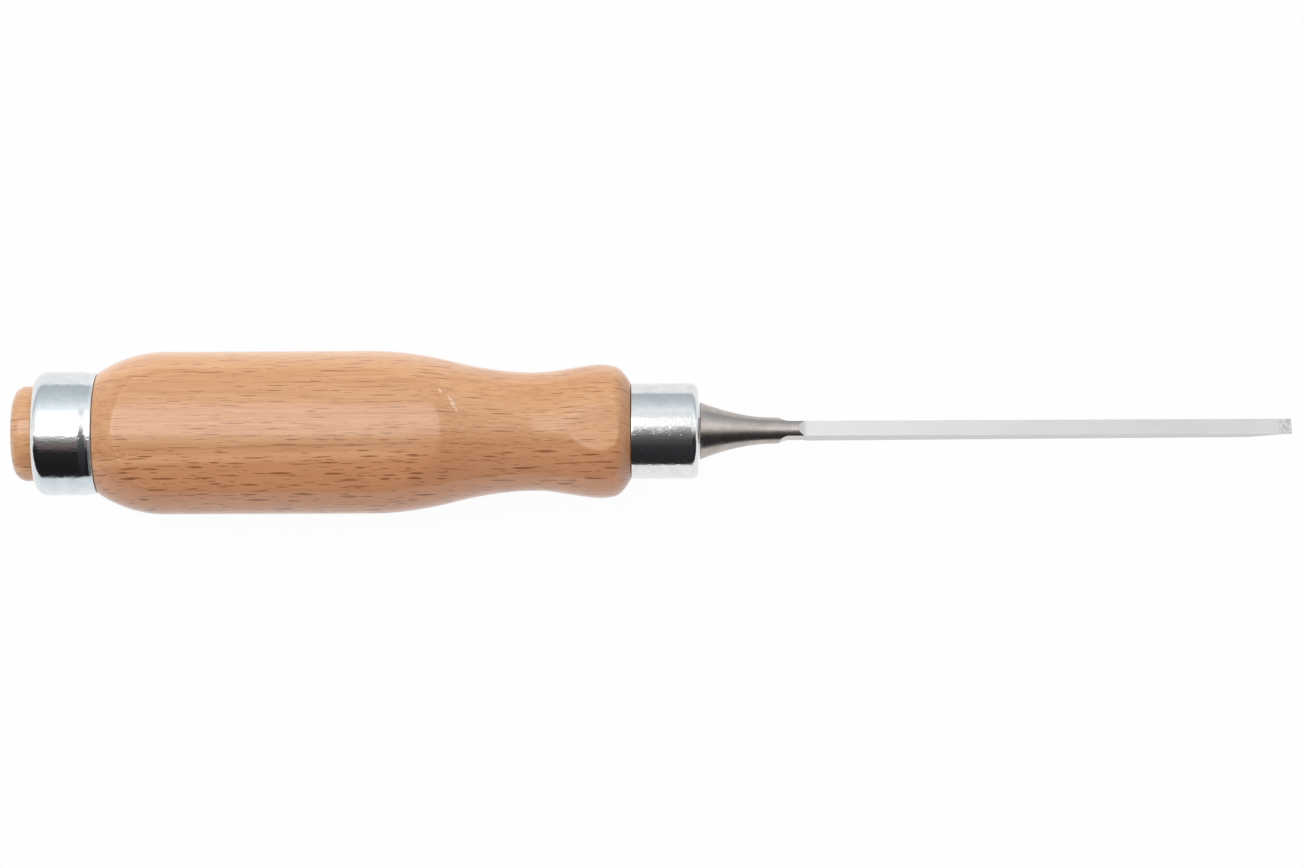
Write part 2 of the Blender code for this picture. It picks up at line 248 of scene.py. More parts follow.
def new_tree(name, inputs):
    """A Geometry Nodes tree with a geometry input, the named inputs and a geometry output."""
    tree = bpy.data.node_groups.new(name, "GeometryNodeTree")
    tree.interface.new_socket("Geometry", in_out="INPUT", socket_type="NodeSocketGeometry")
    for label, kind in inputs.items():
        tree.interface.new_socket(label, in_out="INPUT", socket_type="NodeSocket" + kind)
    tree.interface.new_socket("Geometry", in_out="OUTPUT", socket_type="NodeSocketGeometry")
    return tree, Wire(tree).add("NodeGroupInput")


def close_tree(geometry, given):
    """The end of a tree: instances made real, and the material set."""
    real = geometry.add("GeometryNodeRealizeInstances", sockets={"Geometry": geometry})
    dressed = real.add("GeometryNodeSetMaterial", sockets={
        "Geometry": real, "Material": given.out("Material")})
    dressed.add("NodeGroupOutput", sockets={"Geometry": dressed})


def make_turning_tree():
    """A tree that turns an outline of place and radius about the tool's axis, square where it says so."""
    tree, given = new_tree("turning", {
        "Steps": "Int", "Struck End": "Float", "Axis Height": "Float", "Sharp Angle": "Float",
        "Material": "Material"})
    outline = given.out("Geometry")
    steps = given.out("Steps")
    count = given.add(
        "GeometryNodeAttributeDomainSize", {"component": "MESH"}, {"Geometry": outline}, "Point Count")
    grid = given.add("GeometryNodeMeshGrid", sockets={"Vertices X": count, "Vertices Y": steps + 1})
    index = given.add("GeometryNodeInputIndex")
    station = given.math("FLOOR", (index + 0.5) / (steps + 1))
    turn = (index - station * (steps + 1)) * math.tau / steps
    sampled = given.add("GeometryNodeSampleIndex", {"data_type": "FLOAT_VECTOR"}, {
        "Geometry": outline, "Value": given.add("GeometryNodeInputPosition"), "Index": station})
    place, radius, square = sampled.parts()
    cosine = given.math("COSINE", turn)
    sine = given.math("SINE", turn)
    widest = given.math("MAXIMUM", abs(cosine), abs(sine))
    reach = radius * (1 + square * (1 / widest - 1))
    turned = given.add("GeometryNodeSetPosition", sockets={"Geometry": grid, "Position": given.vector(
        place + given.out("Struck End"), reach * sine, reach * cosine + given.out("Axis Height"))})
    closed = given.add("GeometryNodeMergeByDistance", sockets={
        "Geometry": turned, "Distance": WELD_DISTANCE})
    smooth = given.add("GeometryNodeSetShadeSmooth", sockets={"Geometry": closed, "Shade Smooth": True})
    angle = given.add("GeometryNodeInputMeshEdgeAngle", out="Unsigned Angle")
    sharp = given.math("GREATER_THAN", angle, given.out("Sharp Angle"))
    creased = given.add("GeometryNodeSetShadeSmooth", {"domain": "EDGE"}, {
        "Geometry": smooth, "Selection": sharp, "Shade Smooth": False})
    close_tree(creased, given)
    return tree


PLANED_DEPTH = "planed_depth"
LEAST_UPRIGHT = 0.05


def make_planing_tree():
    """A tree that planes a crowned flat with a level land on the two broad sides of a turned piece, and
    marks how deep it planes, in mm."""
    tree, given = new_tree("planing", {
        "Waist": "Float", "Axis Height": "Float", "Land": "Float", "Roll": "Float",
        "Edge Softness": "Float", "Grip Apothem": "Float", "Grip Crown Offset": "Float",
        "Bell Apothem": "Float", "Bell Crown Offset": "Float", "Material": "Material"})
    x, y, height = given.add("GeometryNodeInputPosition").parts()
    z = height - given.out("Axis Height")
    soft = given.out("Edge Softness")
    radius = given.math("SQRT", y * y + z * z)
    roll = given.out("Roll")
    upright = abs(z * given.math("COSINE", roll) - y * given.math("SINE", roll)) / radius
    in_grip = given.math("LESS_THAN", x, given.out("Waist"))
    apothem = given.out("Bell Apothem") + in_grip * (given.out("Grip Apothem") - given.out("Bell Apothem"))
    offset = given.out("Bell Crown Offset") + in_grip * (
        given.out("Grip Crown Offset") - given.out("Bell Crown Offset"))
    half_land = given.out("Land") / 2
    crown_squared = (apothem + offset) * (apothem + offset) + half_land * half_land
    crown = given.math("SQRT", crown_squared - offset * offset * (1 - upright * upright)) - offset * upright
    land = apothem / given.math("MAXIMUM", upright, LEAST_UPRIGHT)
    planed = given.math("SMOOTH_MIN", radius, given.math("SMOOTH_MIN", crown, land, soft), soft)
    scale = planed / radius
    marked = given.add("GeometryNodeStoreNamedAttribute", {"data_type": "FLOAT", "domain": "POINT"}, {
        "Geometry": given.out("Geometry"), "Name": PLANED_DEPTH, "Value": (radius - planed) / MM})
    moved = given.add("GeometryNodeSetPosition", sockets={
        "Geometry": marked,
        "Position": given.vector(x, y * scale, z * scale + given.out("Axis Height"))})
    close_tree(moved, given)
    return tree


def set_inputs(modifier, values):
    """Set a modifier's inputs, found by name, through their sockets' identifiers."""
    for item in modifier.node_group.interface.items_tree:
        if item.in_out == "INPUT" and item.name in values:
            modifier[item.identifier] = values[item.name]


def as_plain_mesh(name, drawn):
    """The evaluated object as a plain mesh object, with its modifiers and the drawn object gone."""
    evaluated = drawn.evaluated_get(bpy.context.evaluated_depsgraph_get())
    mesh = bpy.data.meshes.new_from_object(evaluated)
    mesh.name = name
    bpy.data.objects.remove(drawn)
    piece = bpy.data.objects.new(name, mesh)
    bpy.context.scene.collection.objects.link(piece)
    return piece


turning = make_turning_tree()


def drawn_outline(name, outline, steps, material):
    """An outline as a mesh of points, with the turning on it. Each point is a place, a radius and, where
    the piece is square there, a 1."""
    mesh = bpy.data.meshes.new(name + "_outline")
    mesh.from_pydata([(*point, 0)[:3] for point in outline], [], [])
    drawn = bpy.data.objects.new(name + "_outline", mesh)
    bpy.context.scene.collection.objects.link(drawn)
    modifier = drawn.modifiers.new("turning", "NODES")
    modifier.node_group = turning
    set_inputs(modifier, {
        "Steps": steps, "Struck End": STRUCK_END, "Axis Height": AXIS_HEIGHT, "Sharp Angle": SHARP_ANGLE,
        "Material": material})
    return drawn


def new_material(name, constants):
    """A Principled material with what is the same all over it set, and the place on the piece in mm."""
    material = bpy.data.materials.new(name)
    material.use_nodes = True
    shader = material.node_tree.nodes["Principled BSDF"]
    for socket, value in constants.items():
        shader.inputs[socket].default_value = value
    place = Wire(material.node_tree).add("ShaderNodeTexCoord", out="Object")
    x, y, z = place.parts()
    return material, x / MM, y / MM, (z - AXIS_HEIGHT) / MM


def feed(material, wires):
    """Link what changes over the surface to the material's shader."""
    shader = material.node_tree.nodes["Principled BSDF"]
    for socket, wire in wires.items():
        material.node_tree.links.new(wire.socket, shader.inputs[socket])


def flecks(x, across, ring, cell, lens, heavy):
    """Ray flecks: a lens-shaped dash in each cell along the grain. Sizes are in mm, as x, across and ring.
    Heavy is how much thicker than its lens a fleck is."""
    u, v, w = x / cell[0], across / cell[1], ring / cell[2]
    found = x.add("ShaderNodeTexVoronoi", {"voronoi_dimensions": "3D"}, {
        "Vector": x.vector(u, v, w), "Scale": 1.0, "Randomness": 1.0}, out="Position")
    u0, v0, w0 = found.parts()
    chance, strength, _ = found.out("Color").parts()
    length = lens[0] / cell[0] * (0.55 + 0.9 * chance)
    along = (u - u0) / length
    thick = abs(v - v0) / (lens[1] / cell[1] * heavy)
    deep = (w - w0) / (lens[2] / cell[2])
    inside = 1 - thick - along * along - deep * deep
    return inside.between(0.0, 0.4) * strength.between(0.1, 0.9)


SCUFF_COSINE = 0.47
SCUFF_SINE = 0.88


def scratch(along, across, length, width):
    """A slanting scuff about a place, with its half length and half width in mm."""
    u = (along * SCUFF_COSINE - across * SCUFF_SINE) / length
    v = (along * SCUFF_SINE + across * SCUFF_COSINE) / width
    return (1 - u * u - v * v).between(0.0, 0.7)


# Places and sizes in a material's pattern are in mm, from the tool's middle and its axis. A pair is where a
# trait begins and where it is whole, on the way to the tip or the far side. Behind and nearer run the other
# way, to the struck end and the near side.
PITH_DEPTH = 62.0
LARGE_FLECK_CELL = (4.9, 0.9, 12)
LARGE_FLECK_LENS = (2.6, 0.14, 6.5)
SMALL_FLECK_CELL = (2.7, 0.5, 9)
SMALL_FLECK_LENS = (1.35, 0.09, 4.5)
SMALL_FLECK_SHIFT = (3.7, 0.4, 5)
PLANED_DEPTHS = (0.02, 0.12)
BELL_ZONE = (-32.0, -24.0)
NEAR_SIDE_NEARER = (3.5, 12.0)
NEAR_SIDE_WIDENING = 2.2
NEAR_SIDE_WIDENING_ZONE = (-58.0, -38.0)
FAR_LIGHT_ZONE = (8.0, 10.5)
GRIP_BEHIND = (36.0, 50.0)
END_GRAIN_FROM_NOSE = (3.4, 0.6)
RIM_BOTH_SIDES = (8.0, 11.0)
RIM_ZONE = (-52.0, -36.0)
ARRIS_HIGHLIGHT_BEHIND = (98.0, 104.0)
LEAF_LIGHT_NEARER = (-2.0, 4.0)
STREAK_BEHIND = 75.5
STREAK_SLOPE = 0.0167
STREAK_NEARER = 5.85
STREAK_HALF_WIDTH = 0.55
PALE_BAND_NEARER = 7.9
PALE_BAND_HALF_WIDTH = 1.3
PALE_BAND_BEHIND = (40.0, 55.0)
SCUFF_PLACE = (-40.2, 2.9)
SCUFF_SIZE = (2.4, 0.45)
NICK_PLACE = (-42.7, 5.4)
NICK_SIZE = (0.9, 0.25)
SEAM_SHADE_DEPTH = 0.1
BEECH_RELIEF = 0.02 * MM
BEECH_LIGHT = (0.712, 0.397, 0.208, 1)
BEECH_DARK = (0.52, 0.24, 0.104, 1)
BEECH_FLECK = (0.26, 0.085, 0.028, 1)
BEECH_PALE = (0.78, 0.44, 0.235, 1)
BEECH_NEAR_SHADE = (0.56, 0.232, 0.106, 1)
BEECH_STREAK = (0.40, 0.17, 0.08, 1)
SCUFF_COLOUR = (0.80, 0.66, 0.56, 1)
SEAM_SHADE_COLOUR = (0.05, 0.03, 0.02, 1)


def make_beech():
    """Lacquered beech: broad rings, dark ray flecks along the grain, fine pores, one streak and a scuff.
    Shade is painted on its near side as a warmer, darker tone, and light is painted on the far flank of its
    grip as a paler tone, with a painted highlight along the rear end of the grip's flat and on the near
    half of the bell's flat. It is darker where the nose shows end grain, with painted shade over that on
    the near side, and the tenon in the seam at the nose is painted dark as the shade in the gap."""
    material, x, y, z = new_material("lacquered_beech", {
        "IOR": 1.45, "Coat Roughness": 0.13, "Coat IOR": 1.46, "Specular IOR Level": 0.3})
    nose = (STRUCK_END + NOSE) / MM
    wander = x.vector(x / 38, y / 9, z / 9).noise(1.0) - 0.5
    up = z + PITH_DEPTH
    ring = x.math("SQRT", y * y + up * up) + 2.2 * wander
    across = x.math("ARCTAN2", y, up) * PITH_DEPTH + 0.9 * wander
    broad = x.vector(x / 160, across / 26, ring / 3.4).noise(2.0).between(0.3, 0.72)
    fine = x.vector(x / 30, across / 0.9, ring / 0.9).noise(3.0, 0.6).between(0.3, 0.75)
    pores = x.vector(x / 2.4, across / 0.16, ring / 0.16).noise(2.0).between(0.5, 0.8)
    hair = x.vector(x / 13, across / 0.3, ring / 0.3).noise(2.0, 0.6).between(0.35, 0.7)
    planed_depth = x.add("ShaderNodeAttribute", {"attribute_name": PLANED_DEPTH}, out="Fac")
    planed = planed_depth.between(*PLANED_DEPTHS)
    behind = 0.0 - x
    nearer = 0.0 - y
    bell = x.between(*BELL_ZONE)
    widened = NEAR_SIDE_WIDENING * x.between(*NEAR_SIDE_WIDENING_ZONE) - y
    # The near side carries painted shade and thicker flecks. The bell's planed flat is mostly left out of
    # the shade.
    near_shade_and_flecks = widened.between(*NEAR_SIDE_NEARER) * (1 - 0.9 * bell * planed)
    far_side_light = y.between(*FAR_LIGHT_ZONE) * (1 - planed) * behind.between(*GRIP_BEHIND)
    end_grain = x.between(nose - END_GRAIN_FROM_NOSE[0], nose - END_GRAIN_FROM_NOSE[1])
    heavy = 0.74 + 0.82 * near_shade_and_flecks
    rim = abs(y).between(*RIM_BOTH_SIDES) * x.between(*RIM_ZONE)
    # Painted highlight: a pale line along the border of the grip's flat, at its rear end.
    arris_highlight = 4.0 * planed * (1 - planed) * behind.between(*ARRIS_HIGHLIGHT_BEHIND)
    large = flecks(x, across, ring, LARGE_FLECK_CELL, LARGE_FLECK_LENS, heavy)
    x_shift, across_shift, ring_shift = SMALL_FLECK_SHIFT
    small = flecks(
        x + x_shift, across + across_shift, ring + ring_shift, SMALL_FLECK_CELL, SMALL_FLECK_LENS, heavy)
    wood = (broad * 0.4 + fine * 0.35 + hair * 0.3).mix(BEECH_LIGHT, BEECH_DARK)
    wood = (pores * 0.28).mix(wood, BEECH_DARK)
    # Painted shade: the near side is mixed to a warmer, darker tone.
    wood = (near_shade_and_flecks * 0.7).mix(wood, BEECH_NEAR_SHADE)
    # Painted light: the far flank of the grip, off the flat, is mixed paler.
    wood = (far_side_light * 0.25).mix(wood, BEECH_PALE)
    # End grain at the nose is darker, with painted shade added on the near side.
    wood = (end_grain * 0.8 * (0.4 + 0.6 * near_shade_and_flecks)).mix(wood, BEECH_STREAK)
    # Painted light: the near half of the bell's planed flat is mixed paler.
    leaf_light = 0.25 * bell * planed * nearer.between(*LEAF_LIGHT_NEARER)
    wood = (leaf_light + 0.38 * arris_highlight).mix(wood, BEECH_PALE)
    streak_rise = STREAK_SLOPE * (x + STREAK_BEHIND)
    line = abs(y + STREAK_NEARER - streak_rise + 0.35 * wander) / STREAK_HALF_WIDTH
    streak = (1 - line).between(0.0, 1.0) * x.vector(x / 7, 0.0, 0.0).noise().between(0.3, 0.6)
    wood = (streak * 0.5).mix(wood, BEECH_STREAK)
    beside = abs(y + PALE_BAND_NEARER - streak_rise + 0.5 * wander) / PALE_BAND_HALF_WIDTH
    paler = (1 - beside).between(0.0, 0.8) * behind.between(*PALE_BAND_BEHIND)
    wood = (paler * 0.4).mix(wood, BEECH_PALE)
    wood = (small * 0.65).mix(wood, BEECH_FLECK)
    wood = (large * 0.9).mix(wood, BEECH_FLECK)
    scratched = x.vector(x / 0.5, y / 0.5, z / 0.5).noise(3.0).between(0.35, 0.6) * z.between(0.0, 5.0)
    long_scuff = scratch(x - SCUFF_PLACE[0], y - SCUFF_PLACE[1], *SCUFF_SIZE)
    nick = scratch(x - NICK_PLACE[0], y - NICK_PLACE[1], *NICK_SIZE)
    scuff = (long_scuff + nick) * scratched
    wood = (scuff * 0.75).mix(wood, SCUFF_COLOUR)
    # Painted shade: the tenon just inside the ferrule's seam is near black, as the shade in the gap.
    wood = x.between(nose - SEAM_SHADE_DEPTH, nose).mix(wood, SEAM_SHADE_COLOUR)
    height = fine * 0.25 - large - small * 0.6 - pores * 0.3
    relief = x.add("ShaderNodeBump", sockets={
        "Strength": 0.3, "Distance": BEECH_RELIEF, "Height": height})
    lacquer = 0.86 + 0.14 * rim - 0.6 * scuff - 0.08 * broad
    lacquer = lacquer - 0.25 * bell * (1 - rim) - 0.25 * end_grain
    feed(material, {
        "Base Color": wood, "Roughness": 0.42 + 0.1 * fine + 0.3 * scuff, "Coat Weight": lacquer,
        "Normal": relief})
    return material


beech = make_beech()
stub_front = HOOP_REAR + HOOP_WALL + CLEARANCE
rear_tenon = HOOP_BORE - CLEARANCE
shoulder_front = SHOULDER + SHOULDER_ROUND
turned_places = stations(SHOULDER, shoulder_front, EDGE_STEP)
turned_places += stations(shoulder_front, CREASE, STATION_STEP)[1:]
turned_places += stations(CREASE, NOSE, NOSE_STEP)[1:]
handle_outline = [(INSET, 0), (INSET, (STUB_RADIUS - STUB_ROUND) / 2)]
stub_centre = (INSET + STUB_ROUND, STUB_RADIUS - STUB_ROUND)
handle_outline += arc(stub_centre, STUB_ROUND, 180, 90, STUB_ROUND_STEPS)
handle_outline += [(x, STUB_RADIUS) for x in stations(STUB_ROUND, stub_front, COARSE_STEP)[1:]]
handle_outline += [(stub_front, rear_tenon), (SHOULDER, rear_tenon)]
handle_outline += [(x, handle_radius(x)) for x in turned_places]
handle_outline += [(NOSE, FERRULE_TENON), (TENON_END, FERRULE_TENON), (TENON_END, SOCKET_MOUTH, 1)]
handle_outline += [(TANG_END - CLEARANCE, SOCKET_END, 1), (TANG_END - CLEARANCE, 0)]
handle_drawn = drawn_outline("handle", handle_outline, HANDLE_STEPS, beech)
planing = handle_drawn.modifiers.new("planing", "NODES")
planing.node_group = make_planing_tree()
set_inputs(planing, {
    "Waist": STRUCK_END + WAIST, "Axis Height": AXIS_HEIGHT, "Land": FLAT_LAND,
    "Roll": FLAT_ROLL, "Edge Softness": FLAT_EDGE_SOFTNESS, "Grip Apothem": GRIP_APOTHEM,
    "Grip Crown Offset": GRIP_CROWN_OFFSET, "Bell Apothem": BELL_APOTHEM,
    "Bell Crown Offset": BELL_CROWN_OFFSET, "Material": beech})
handle = as_plain_mesh("beech_handle", handle_drawn)
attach(handle, "root")
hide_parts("handle")

# Striking hoop
# A drawn steel ring, bright plated, with its rear edge turned in to a lip and its front rim swaged on to
# the wood. It keeps the struck end from splitting.
HOOP_CORNER = 2.4 * MM
HOOP_CORNER_STEPS = 16
HOOP_HOLE = STUB_RADIUS + CLEARANCE
HOOP_RIM_LENGTH = 0.55 * MM
HOOP_RIM_RAMP = 2.6 * MM
HOOP_RAMP_STEPS = 20
HOOP_RIM_DROP = 0.25 * MM
HOOP_RIM_RADIUS = HOOP_RADIUS - HOOP_RIM_DROP
HOOP_EDGE_ROUND = 0.3 * MM
RING_STEPS = 192
STRAIGHT_STEP = 0.15 * MM
HOOP_BRIGHT = (0.79, 0.82, 0.838, 1)
HOOP_DULL = (0.69, 0.73, 0.753, 1)
HOOP_SATIN = 0.07
HOOP_WAVES = 2.0
HOOP_STREAKS = 3.0
HOOP_DULL_EDGE = 0.2
HOOP_DULL_FROM_FRONT = (0.8, 0.5)
PLATE_RELIEF = 0.006 * MM


def make_plated_steel(name, drift, bright, dull, satin, waves, streaks):
    """Bright plate over drawn steel: slightly clouded and wavy, with small pits. Drift moves the pattern,
    bright and dull are its two colours, satin its least roughness, and waves and streaks the depth of its
    relief."""
    material, x, y, z = new_material(name, {"Metallic": 1.0})
    x = x + drift
    cloud = x.vector(x / 3.2, y / 3.2, z / 3.2).noise(3.0, 0.6).between(0.35, 0.7)
    ripple = x.vector(x / 1.5, y / 0.7, z / 0.7).noise(2.0)
    grain = x.vector(x / 0.9, y / 0.4, z / 0.4).noise(2.0)
    pit = x.vector(x / 0.8, y / 0.8, z / 0.8).noise(0.0).between(0.76, 0.82)
    height = cloud * 0.6 + ripple * waves + grain * streaks - pit * 1.5
    relief = x.add("ShaderNodeBump", sockets={
        "Strength": 1.0, "Distance": PLATE_RELIEF, "Height": height})
    feed(material, {
        "Base Color": (cloud * 0.7 + pit * 0.3).mix(bright, dull),
        "Roughness": satin + 0.04 * cloud + 0.05 * grain, "Normal": relief})
    return material


def rounded(place, radius, size, start, end, steps=8):
    """A corner of a turned outline, as an arc that ends square to both its sides."""
    inward = 1 if max(start, end) > 90 else -1
    return arc((place + inward * size, radius - size), size, start, end, steps)


def straight(start, end, radius):
    """Points along a straight run between two corners, close together so that the shading stays true."""
    return [(x, radius) for x in stations(start, end, STRAIGHT_STEP)[1:-1]]


hoop_outline = [(HOOP_REAR + HOOP_WALL, HOOP_HOLE), (HOOP_REAR, HOOP_HOLE)]
hoop_outline += rounded(HOOP_REAR, HOOP_RADIUS, HOOP_CORNER, 180, 90, HOOP_CORNER_STEPS)
rim_rear = HOOP_FRONT - HOOP_RIM_LENGTH
ramp_rear = rim_rear - HOOP_RIM_RAMP
hoop_outline += straight(HOOP_REAR + HOOP_CORNER, ramp_rear, HOOP_RADIUS)
ramp_ends = ((ramp_rear, HOOP_RADIUS, 0), (rim_rear, HOOP_RIM_RADIUS, 0))
ramp_places = stations(ramp_rear, rim_rear, HOOP_RIM_RAMP / HOOP_RAMP_STEPS)
hoop_outline += [(x, ease(*ramp_ends, x)) for x in ramp_places]
hoop_outline += straight(rim_rear, HOOP_FRONT - HOOP_EDGE_ROUND, HOOP_RIM_RADIUS)
hoop_outline += rounded(HOOP_FRONT, HOOP_RIM_RADIUS, HOOP_EDGE_ROUND, 90, 0)
hoop_outline += [(HOOP_FRONT, HOOP_BORE), (HOOP_REAR + HOOP_WALL, HOOP_BORE), hoop_outline[0]]
hoop_plate = make_plated_steel(
    "hoop_plate", 0.0, HOOP_BRIGHT, HOOP_DULL, HOOP_SATIN, HOOP_WAVES, HOOP_STREAKS)
along_hoop = Wire(hoop_plate.node_tree).add("ShaderNodeTexCoord", out="Object").parts()[0] / MM
hoop_edge = (STRUCK_END + HOOP_FRONT) / MM
dull_rear, dull_front = HOOP_DULL_FROM_FRONT
dull_edge = along_hoop.between(hoop_edge - dull_rear, hoop_edge - dull_front)
feed(hoop_plate, {"Metallic": 1 - HOOP_DULL_EDGE * dull_edge})
hoop_drawn = drawn_outline("hoop", hoop_outline, RING_STEPS, hoop_plate)
hoop = as_plain_mesh("plated_hoop", hoop_drawn)
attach(hoop, "root")
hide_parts("striking_hoop")

# Front ferrule
# A cup drawn from sheet steel and bright plated, pressed over the handle's front tenon. The tang passes
# through a hole in its front wall, and the bolster seats on that wall.
FERRULE_CORNER = 1.5 * MM
FERRULE_CORNER_STEPS = 14
FERRULE_EDGE_ROUND = 0.15 * MM
FERRULE_HOLE = TANG_HALF_WIDTH * math.sqrt(2) + CLEARANCE
FERRULE_DRIFT = 41.0
FERRULE_BRIGHT = (0.79, 0.797, 0.80, 1)
FERRULE_DULL = (0.69, 0.703, 0.71, 1)
FERRULE_SATIN = 0.08
FERRULE_WAVES = 1.0
FERRULE_STREAKS = 2.8
ferrule_bore = FERRULE_RADIUS - FERRULE_WALL
wall_rear = FERRULE_FRONT - FERRULE_WALL
cup_corner = FERRULE_CORNER - FERRULE_WALL
ferrule_outline = [(FERRULE_REAR, ferrule_bore)]
ferrule_outline += rounded(FERRULE_REAR, FERRULE_RADIUS, FERRULE_EDGE_ROUND, 180, 90)
ferrule_outline += straight(
    FERRULE_REAR + FERRULE_EDGE_ROUND, FERRULE_FRONT - FERRULE_CORNER, FERRULE_RADIUS)
ferrule_outline += rounded(FERRULE_FRONT, FERRULE_RADIUS, FERRULE_CORNER, 90, 0, FERRULE_CORNER_STEPS)
ferrule_outline += [(FERRULE_FRONT, FERRULE_HOLE), (wall_rear, FERRULE_HOLE)]
ferrule_outline += rounded(wall_rear, ferrule_bore, cup_corner, 0, 90)
ferrule_outline += [ferrule_outline[0]]
ferrule_plate = make_plated_steel(
    "ferrule_plate", FERRULE_DRIFT, FERRULE_BRIGHT, FERRULE_DULL, FERRULE_SATIN, FERRULE_WAVES,
    FERRULE_STREAKS)
ferrule_drawn = drawn_outline("ferrule", ferrule_outline, RING_STEPS, ferrule_plate)
ferrule = as_plain_mesh("plated_ferrule", ferrule_drawn)
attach(ferrule, "root")
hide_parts("front_ferrule")

# Blade
# One forging of tool steel: a tang inside the handle, a turned bolster and neck, and a blade ground flat
# on its back and sides with round run-outs at its heel, and to a cutting edge at its tip.
BLADE_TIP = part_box("blade")[1].x - STRUCK_END
BOLSTER = FERRULE_FRONT + CLEARANCE
BOLSTER_RADIUS = 5.85 * MM
BOLSTER_SLOPE = -0.38
BOLSTER_EDGE = 0.12 * MM
BOLSTER_TAPER = 13.9 * MM
NECK = BOLSTER + BOLSTER_TAPER
NECK_RADIUS = 2.7 * MM
NECK_SLOPE = -0.03
NECK_LENGTH = 5.0 * MM
HEEL = NECK + NECK_LENGTH
SWELL_DELAY = 1.6 * MM
SWELL = HEEL + SWELL_DELAY
SWELL_REACH = 5.5 * MM
SWELL_END = HEEL + SWELL_REACH
HALF_WIDTH = 1.55 * MM
BACK_HEIGHT = 2.15 * MM
SIDE_HEIGHT_HEEL = 4.8 * MM
SIDE_HEIGHT_TIP = 3.0 * MM
EDGE_BEVEL = 0.5 * MM
CUTTING_ANGLE = math.radians(20)
SIDE_RUNOUT = 3.0 * MM
SIDE_RUNOUT_SETBACK = 0.6 * MM
BACK_RUNOUT = 3.8 * MM
BACK_RUNOUT_ADVANCE = 2.9 * MM
WHEEL_STEPS = 24
OVERCUT = 6.0 * MM
NECK_STEPS = 160
BLADE_SHARP_ANGLE = math.radians(22)
STEEL_RELIEF = 0.004 * MM
HONED_FROM_TIP = (2.4, 2.0)
SPECKS_FROM_TIP = (2.7, 2.2)
SIDE_FINISH_DEPTH = (0.06, 0.02)
STEEL_NECK = (0.515, 0.47, 0.445, 1)
STEEL_NECK_DARK = (0.42, 0.38, 0.355, 1)
STEEL_GROUND = (0.59, 0.584, 0.583, 1)
STEEL_GROUND_DARK = (0.54, 0.535, 0.53, 1)
STEEL_SIDE = (0.70, 0.675, 0.655, 1)
STEEL_SPECK = (0.24, 0.23, 0.225, 1)


def make_turned_steel():
    """The neck's satin finish, with fine marks that run round it from turning and brushing."""
    material, x, y, z = new_material("turned_steel", {"Metallic": 1.0})
    marks = x.vector(x / 0.09, y / 2.5, z / 2.5).noise(3.0, 0.7)
    cloud = x.vector(x / 2.0, y / 2.0, z / 2.0).noise(2.0).between(0.3, 0.7)
    speck = x.vector(x / 0.25, y / 0.25, z / 0.25).noise(2.0)
    relief = x.add("ShaderNodeBump", sockets={
        "Strength": 0.5, "Distance": STEEL_RELIEF, "Height": marks + speck * 0.25})
    feed(material, {
        "Base Color": (0.55 * cloud + 0.45 * marks).mix(STEEL_NECK, STEEL_NECK_DARK),
        "Roughness": 0.2 + 0.1 * marks + 0.05 * cloud, "Normal": relief})
    return material


def make_ground_steel():
    """The blade's ground finish, with marks across it, and a honed and specked patch close to the cutting
    edge."""
    material, x, y, z = new_material("ground_steel", {"Metallic": 1.0})
    marks = x.vector(x / 0.12, y / 6.0, z / 6.0).noise(3.0, 0.65)
    cloud = x.vector(x / 9.0, y / 3.0, z / 3.0).noise(2.0).between(0.3, 0.7)
    tip = (STRUCK_END + BLADE_TIP) / MM
    honed = x.between(tip - HONED_FROM_TIP[0], tip - HONED_FROM_TIP[1])
    specks = x.vector(x / 0.5, y / 0.4, z / 0.4).noise(2.0, 0.6).between(0.48, 0.6)
    speckle = specks * x.between(tip - SPECKS_FROM_TIP[0], tip - SPECKS_FROM_TIP[1])
    relief = x.add("ShaderNodeBump", sockets={
        "Strength": 0.35, "Distance": STEEL_RELIEF, "Height": marks - speckle * 2.0})
    steel = (0.4 * cloud + 0.35 * marks).mix(STEEL_GROUND, STEEL_GROUND_DARK)
    half_width = HALF_WIDTH / MM
    on_side = abs(y).between(half_width - SIDE_FINISH_DEPTH[0], half_width - SIDE_FINISH_DEPTH[1])
    side = on_side * (0.9 - 0.4 * marks)
    feed(material, {
        "Base Color": (0.6 * speckle).mix(side.mix(steel, STEEL_SIDE), STEEL_SPECK),
        "Roughness": 0.40 + 0.08 * marks - 0.12 * honed, "Normal": relief})
    return material


turned_steel = make_turned_steel()
ground_steel = make_ground_steel()


def grind(piece, name, face, sweep):
    """Cut a piece with what a wheel takes off: a flat face of points from the struck end, swept along."""
    shape = bmesh.new()
    corners = [shape.verts.new(Vector((STRUCK_END, 0, AXIS_HEIGHT)) + Vector(point)) for point in face]
    end = bmesh.ops.extrude_face_region(shape, geom=[shape.faces.new(corners)])
    moved = [part for part in end["geom"] if isinstance(part, bmesh.types.BMVert)]
    bmesh.ops.translate(shape, verts=moved, vec=Vector(sweep))
    bmesh.ops.recalc_face_normals(shape, faces=shape.faces)
    mesh = bpy.data.meshes.new(name)
    shape.to_mesh(mesh)
    shape.free()
    mesh.materials.append(ground_steel)
    wheel = bpy.data.objects.new(name, mesh)
    bpy.context.scene.collection.objects.link(wheel)
    cut = piece.modifiers.new(name, "BOOLEAN")
    cut.solver = "EXACT"
    cut.material_mode = "TRANSFER"
    cut.object = wheel
    return wheel


